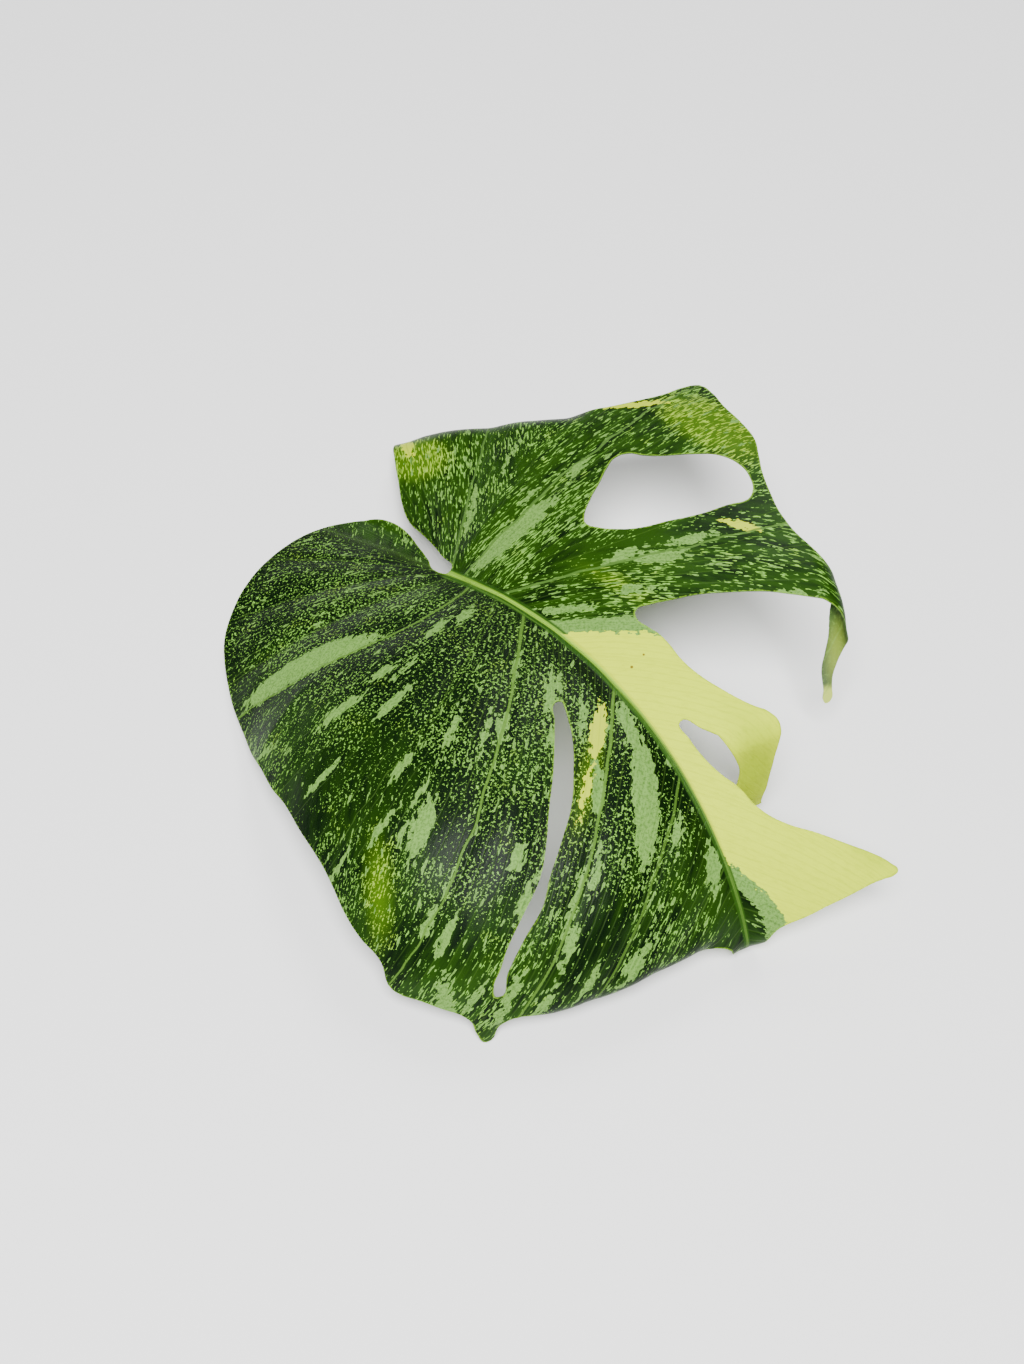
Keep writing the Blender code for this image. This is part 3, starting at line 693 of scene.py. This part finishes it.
def leaf_top():
    material, start, shader = new_material("variegated_leaf")
    place, u, v, out, vein = leaf_fields(start)
    gap = start.attribute("gap")
    strength = start.attribute("strength")
    to_edge = start.attribute("to_edge")
    is_left = v.fade(-0.5, 0.5)
    along = (u / MIDRIB_LENGTH).math("MAXIMUM", 0.0)

    # Ground green, darker by the midrib and in drifts.
    drift = place.cloud(0.022, 3.0, 0.5)
    streak = along_veins(start, u, out, vein, is_left, 26.0, 4.5, 3.0)
    grain = along_veins(start, u, out, vein, is_left, 5.0, 1.1, 2.0)
    streaky = start.attribute("streaky")
    depth = (drift * 0.7 + streak * 0.5 + grain * 0.3 + streaky * 0.22).ramp(0.72, 1.12)
    ground = depth.blend(DEEP_GREEN, LEAF_GREEN)
    fresh = (drift * 0.6 + streak * 0.8).ramp(0.48, 0.86)
    ground = (streaky * fresh).blend(ground, FRESH_GREEN)

    # Flecks: round ones on the left half, drawn out along the veins on the right and near the edge.
    round_fleck = place.cloud(0.80, 2.2, 0.72)
    long_fleck = along_veins(start, u, out, vein, is_left, 4.2, 0.8, 1.6)
    gold_and_shade = start.attribute("gold_and_shade").ramp(-5.0, 6.0)
    ground = (start.attribute("gold_and_shade").ramp(-2.0, 7.0) * 0.7).blend(ground, GOLD_GREEN)
    fleck_field = round_fleck + (long_fleck - round_fleck) * streaky
    thin = place.cloud(0.035, 2.0, 0.5).ramp(0.36, 0.66)
    level = 0.626 - thin * 0.055 - streaky * (thin - 0.75) * 0.06 - gold_and_shade * 0.05 + out.fade(2.0, 14.0) * 0.05
    fleck = (fleck_field - level).ramp(0.0, 0.015)
    fleck_tone = place.cloud(0.09, 2.0, 0.5).ramp(0.55, 0.8) * 0.35 + gold_and_shade * 0.8
    fleck_colour = fleck_tone.blend(FLECK, WARM_FLECK)
    fleck_share = 0.45 + 0.52 * place.cloud(0.35, 2.0, 0.6).ramp(0.3, 0.62)
    skin = (fleck * fleck_share).blend(ground, fleck_colour)

    # Flakes of middle size, between the flecks and the blotches.
    flake_field = along_veins(start, u, out, vein, is_left, 9.0, 2.3, 2.5)
    flake = (flake_field + thin * 0.02).ramp(0.683, 0.690)
    ragged = along_veins(start, u, out, vein, is_left, 3.6, 1.9, 2.0) - 0.5
    inner = along_veins(start, u, out, vein, is_left, 12.0, 0.9, 2.0)
    pale_tone = (inner.ramp(0.45, 0.7) * 0.3 + round_fleck.ramp(0.45, 0.62) * 0.5).blend(PALE, PALE_STREAK)
    pale = (start.attribute("pale") + ragged * 6.5).ramp(-0.06, 0.06)
    band = (start.attribute("band") + ragged * 5.0).ramp(-0.15, 0.15)
    pale_all = pale.math("MAXIMUM", flake)
    pale_all = pale_all.math("MAXIMUM", band)
    skin = pale_all.blend(skin, pale_tone)
    cream = (start.attribute("cream") + ragged * 5.0).ramp(-0.12, 0.12)
    skin = cream.blend(skin, CREAM)
    sector = (start.attribute("sector") + ragged * 6.0).ramp(-0.15, 0.15)

    # Fine veins run between the main ones, all the way to the edge.
    fine_line = fine_veins(vein, gap, 0.45)
    off = vein - vein.math("ROUND") + (place.cloud(0.05, 2.0, 0.5) - 0.5) * 0.09
    from_vein = off.math("ABSOLUTE") * gap
    # The bare sector's yellow, deeper with the grain and in the gold zones; on the hanging hooked strip the
    # deeper yellow is painted shade.
    yellow = (gold_and_shade * 0.75 + grain.ramp(0.4, 0.9) * 0.35).blend(YELLOW, DEEP_AND_SHADED_YELLOW)
    yellow = (fine_line * 0.35).blend(yellow, YELLOW_VEIN)
    skin = (fine_line * 0.16).blend(skin, VEIN_GREEN)
    skin = sector.blend(skin, yellow)
    for speck_u, speck_v, radius in SPECKS:
        aside = (u - speck_u) * (u - speck_u) + (v - speck_v) * (v - speck_v)
        from_speck = aside.math("SQRT")
        skin = from_speck.fade(radius * 0.5, radius).blend(skin, BROWN_SPECK)

    # Main veins, midrib and rim.
    vein_half = 0.3 + strength * 0.65 * (1.0 - out * 0.004)
    vein_line = (from_vein / vein_half).fade(0.45, 1.0) * strength
    vein_tone = sector.blend((1.0 - is_left).blend(VEIN_GREEN, RIGHT_VEIN_GREEN), YELLOW_VEIN)
    skin = (vein_line * (0.85 - sector * 0.45)).blend(skin, vein_tone)
    ahead = u.ramp(-3.0, 2.0)
    strand = start.node("ShaderNodeCombineXYZ", {}, {0: u * 0.02, 1: v * 1.3, 2: 0.0}).cloud(1.0, 2.0, 0.6)
    flank = (out / (3.3 - along * 1.9)).fade(0.7, 1.1) * ahead * (1.0 - sector * 0.85)
    from_ridge = v - 0.5 + along * 0.3
    ridge = from_ridge.math("ABSOLUTE") / (1.7 - along.math("POWER", 0.5) * 1.1)
    skin = (flank * 0.9).blend(skin, MIDRIB_GREEN)
    strand_tone = strand.ramp(0.42, 0.62).blend(MIDRIB_GREEN, VEIN_GREEN)
    skin = (flank * (0.55 - along * 0.5)).blend(skin, strand_tone)
    ridge_tone = along.ramp(0.3, 0.75).blend(MIDRIB_PALE, VEIN_GREEN)
    skin = (ridge.fade(0.45, 1.15) * ahead * (0.55 + strand.ramp(0.35, 0.6) * 0.4)).blend(skin, ridge_tone)
    skin = tail_end(u, v).blend(skin, DRIP_TIP)
    rim = to_edge.fade(0.25, 0.9)
    rim_tone = sector.blend(RIM_GREEN, DEEP_AND_SHADED_YELLOW)
    skin = (rim * 0.7).blend(skin, rim_tone)

    cells = place.cloud(2.2, 1.0, 0.5)
    waxy = 0.31 + cells * 0.10 + drift * 0.1 + sector * 0.3
    relief = cells * 0.25 + grain * 0.5 + fine_line * -0.3 + vein_line * 0.8
    finish_material(start, shader, skin, waxy, relief, TOP_BUMP)
    shader.inputs["Specular IOR Level"].default_value = TOP_GLOSS
    return material


def leaf_underside():
    material, start, shader = new_material("leaf_underside")
    place, u, v, out, vein = leaf_fields(start)
    gap = start.attribute("gap")
    strength = start.attribute("strength")
    is_left = v.fade(-0.5, 0.5)
    along = (u / MIDRIB_LENGTH).math("MAXIMUM", 0.0)
    grain = along_veins(start, u, out, vein, is_left, 6.0, 1.3, 2.0)
    ragged = along_veins(start, u, out, vein, is_left, 4.0, 1.5, 3.0) - 0.5
    drift = place.cloud(0.03, 3.0, 0.5)
    skin = (drift * 0.7 + grain * 0.5).ramp(0.4, 0.85).blend(UNDER_DEEP, UNDER_GREEN)
    fleck = place.cloud(0.62, 2.5, 0.62).ramp(0.52, 0.64)
    skin = (fleck * 0.4).blend(skin, UNDER_PALE)
    pale = (start.attribute("pale") + ragged * 6.0).ramp(-0.3, 0.3)
    band = (start.attribute("band") + ragged * 5.0).ramp(-0.3, 0.3)
    skin = (pale.math("MAXIMUM", band) * 0.8).blend(skin, UNDER_PALE)
    cream = (start.attribute("cream") + ragged * 5.0).ramp(-0.3, 0.3)
    sector = (start.attribute("sector") + ragged * 6.0).ramp(-0.2, 0.2)
    gold_and_shade = start.attribute("gold_and_shade").ramp(-3.0, 3.0)
    skin = (gold_and_shade * 0.7).blend(skin, UNDER_GOLD)
    skin = cream.math("MAXIMUM", sector).blend(skin, UNDER_YELLOW)
    skin = tail_end(u, v).blend(skin, DRIP_TIP)
    fine_line = fine_veins(vein, gap, 0.6)
    off = vein - vein.math("ROUND")
    from_vein = off.math("ABSOLUTE") * gap
    vein_line = (from_vein / (0.5 + strength * 1.1)).fade(0.3, 1.0) * strength
    keel = (out / (3.7 - along * 2.2)).fade(0.7, 1.1) * u.ramp(-3.0, 2.0)
    skin = (fine_line * 0.3).blend(skin, KEEL_GREEN)
    skin = (vein_line * 0.8).blend(skin, KEEL_GREEN)
    skin = (keel * 0.9).blend(skin, KEEL_GREEN)
    cells = place.cloud(2.0, 1.0, 0.5)
    dull = 0.52 + cells * 0.1
    relief = cells * 0.3 + grain * 0.4 + fine_line * 0.5
    finish_material(start, shader, skin, dull, relief, UNDER_BUMP)
    return material


UNDER_SLOT = 1
blade.data.materials.clear()
blade.data.materials.append(leaf_top())
blade.data.materials.append(leaf_underside())
bpy.ops.object.select_all(action="DESELECT")
blade.select_set(True)
bpy.context.view_layer.objects.active = blade
thicken = blade.modifiers.new("thickness", "SOLIDIFY")
thicken.thickness = full * MM
thicken.offset = -1.0
thicken.vertex_group = "thickness"
thicken.material_offset = UNDER_SLOT
thicken.material_offset_rim = UNDER_SLOT
bpy.ops.object.modifier_apply(modifier=thicken.name)
bpy.ops.object.shade_smooth_by_angle(angle=radians(50.0))
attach(blade, "root")
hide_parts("blade")

# The stalk. A monstera petiole is a firm, fleshy green rod with a channel on its upper side. It thickens
# into a wrinkled knee under the blade, where it turns to hold the leaf up, and was cut off clean.
SINUS_ON_FLOOR = (-1.8, 68.5, 0.0)
STALK_PATH = (
    (1.0, -6.0, 32.2), (0.0, -5.5, 29.5), (-0.5, -8.1, 24.4), (-6.0, -9.0, 11.0), (-24.0, -6.0, 4.4),
    (-60.0, -5.0, 3.4), (-106.0, -11.0, 3.4))
STALK_RADII = (4.3, 3.4, 3.3, 3.0, 2.7, 2.8, 3.2)
STALK_STEPS = 24
CHANNEL_DEPTH = 0.45
CHANNEL_HALF_WIDTH = 1.1
CHANNEL_FADE = 14.0
KNEE_LENGTH = 22.0
KNEE_FADE = 8.0
KNEE_WRINKLE = 0.12
WRINKLE_SPACING = 1.9
STALK_GREEN = (0.055, 0.13, 0.02, 1.0)
STALK_PALE = (0.14, 0.27, 0.05, 1.0)
STALK_SPECK = (0.30, 0.42, 0.11, 1.0)
CUT_PALE = (0.40, 0.52, 0.16, 1.0)
CUT_FIBRE = (0.20, 0.28, 0.07, 1.0)

bpy.ops.curve.primitive_bezier_curve_add(location=(0.0, 0.0, 0.0))
stalk = bpy.context.object
stalk.name = "leaf_stalk"
stalk.data.bevel_depth = MM
stalk.data.bevel_resolution = 8
stalk.data.use_fill_caps = True
spline = stalk.data.splines[0]
spline.bezier_points.add(len(STALK_PATH) - len(spline.bezier_points))
spline.resolution_u = STALK_STEPS
for knot, place, radius in zip(spline.bezier_points, STALK_PATH, STALK_RADII):
    knot.co = (Vector(place) + Vector(SINUS_ON_FLOOR)) * MM
    knot.radius = radius
    knot.handle_left_type = "AUTO"
    knot.handle_right_type = "AUTO"
ring_size = 2 * stalk.data.bevel_resolution + 4
bpy.ops.object.convert(target="MESH")

# The channel runs along the top of the lying part, and fine wrinkles ring the knee.
places = np.zeros(len(stalk.data.vertices) * 3)
stalk.data.vertices.foreach_get("co", places)
rings = places.reshape(-1, ring_size, 3) / MM
centres = rings.mean(axis=1)
run = np.concatenate(([0.0], np.cumsum(np.linalg.norm(np.diff(centres, axis=0), axis=1))))[:, None]
out_from = rings - centres[:, None]
on_knee = smooth(-run, -KNEE_LENGTH, KNEE_FADE - KNEE_LENGTH)
wrinkle = KNEE_WRINKLE * np.sin(2.0 * pi * run / WRINKLE_SPACING) * on_knee
length = np.linalg.norm(out_from, axis=2)
rings = centres[:, None] + out_from * (1.0 + wrinkle / length)[:, :, None]
channel = CHANNEL_DEPTH * np.exp(-(out_from[:, :, 1] / CHANNEL_HALF_WIDTH) ** 2) * (out_from[:, :, 2] > 0.0)
rings[:, :, 2] -= channel * smooth(run, KNEE_LENGTH, KNEE_LENGTH + CHANNEL_FADE)
stalk.data.vertices.foreach_set("co", (rings * MM).ravel())
stalk.data.update()


def stalk_material(name, is_cut):
    material, start, shader = new_material(name)
    spot = start.node("ShaderNodeTexCoord", {}, {}, output=3)
    stretched = start.node("ShaderNodeMapping", {}, {0: spot, 3: (90.0, 700.0, 700.0)})
    fibre = start.node("ShaderNodeTexNoise", {}, {"Vector": stretched, "Scale": 1.0, "Detail": 3.0})
    speck = start.node("ShaderNodeTexNoise", {}, {"Vector": spot, "Scale": 900.0, "Detail": 2.0})
    if is_cut:
        skin = speck.ramp(0.55, 0.7).blend(CUT_PALE, CUT_FIBRE)
    else:
        skin = fibre.ramp(0.35, 0.7).blend(STALK_GREEN, STALK_PALE)
        skin = (speck.ramp(0.62, 0.68) * 0.6).blend(skin, STALK_SPECK)
    finish_material(start, shader, skin, 0.42 + fibre * 0.12, fibre * 0.6 + speck * 0.4, 0.0002)
    return material


stalk.data.materials.clear()
stalk.data.materials.append(stalk_material("stalk_green_skin", False))
stalk.data.materials.append(stalk_material("stalk_cut_face", True))
stalk_end = (Vector(STALK_PATH[-1]) + Vector(SINUS_ON_FLOOR)) * MM
for face in stalk.data.polygons:
    face.material_index = int(face.normal.x < -0.9 and (face.center - stalk_end).length < 4.0 * MM)
bpy.ops.object.shade_smooth_by_angle(angle=radians(50.0))
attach(stalk, "root")
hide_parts("petiole")

# The table it lies on, a plain pale board.
FLOOR_SIZE = 6.0
bpy.ops.mesh.primitive_plane_add(size=FLOOR_SIZE, location=(0.0, 0.0, 0.0))
floor = bpy.context.object
floor.name = "table"
floor_material, start, shader = new_material("pale_table")
shader.inputs["Base Color"].default_value = (0.86, 0.86, 0.86, 1.0)
shader.inputs["Roughness"].default_value = 0.7
floor.data.materials.append(floor_material)

# Soft studio light: a broad lamp high on the left, a fill on the right, and a pale room.
LAMPS = (
    ("key_light", (-0.7, -0.5, 1.8), 1.0, 105.0),
    ("fill_light", (1.2, 0.9, 1.7), 1.0, 26.0),
)
ROOM_LIGHT = 0.18
ROOM_BACKDROP = 1.0
for name, spot, size, power in LAMPS:
    bpy.ops.object.light_add(type="AREA", location=spot)
    lamp = bpy.context.object
    lamp.name = name
    lamp.data.shape = "DISK"
    lamp.data.size = size
    lamp.data.energy = power
    lamp.rotation_euler = (-Vector(spot)).to_track_quat("-Z", "Y").to_euler()
room = bpy.context.scene.world or bpy.data.worlds.new("room")
bpy.context.scene.world = room
room.use_nodes = True
room.node_tree.nodes["Background"].inputs["Color"].default_value = (1.0, 1.0, 1.0, 1.0)
straight_seen = Wire(room.node_tree).node("ShaderNodeLightPath", {}, {})
room_light = ROOM_LIGHT + straight_seen * ROOM_BACKDROP
room.node_tree.links.new(room_light.socket, room.node_tree.nodes["Background"].inputs["Strength"])

# The camera looks down on the leaf from its front left. Its line of sight passes to the right of the
# sinus and below it, in millimetres, so that the whole leaf is in view.
CAMERA_AZIMUTH = -44.0
CAMERA_HEIGHT = 55.0
CAMERA_DISTANCE = 750.0
CAMERA_LENS = 46.0
SENSOR = 36.0
SIGHT_RIGHT = 28.0
SIGHT_BELOW = 46.0

side = radians(CAMERA_AZIMUTH)
tilt = radians(CAMERA_HEIGHT)
back = Vector((np.sin(side) * np.cos(tilt), -np.cos(side) * np.cos(tilt), np.sin(tilt)))
rightward = Vector((np.cos(side), np.sin(side), 0.0))
upward = back.cross(rightward)
eye = back * CAMERA_DISTANCE + rightward * SIGHT_RIGHT - upward * SIGHT_BELOW
axes = lay(np.array((rightward, upward, back))) - np.array(LAY_SHIFT)
eye = Vector(lay(np.array((eye,)))[0]) * MM
bpy.ops.object.camera_add(location=eye)
camera = bpy.context.object
camera.name = "camera"
camera.data.lens = CAMERA_LENS
camera.data.sensor_width = SENSOR
turn = Matrix([Vector(axis) for axis in axes]).transposed()
camera.rotation_euler = turn.to_euler()
bpy.context.scene.camera = camera

bpy.context.view_layer.update()
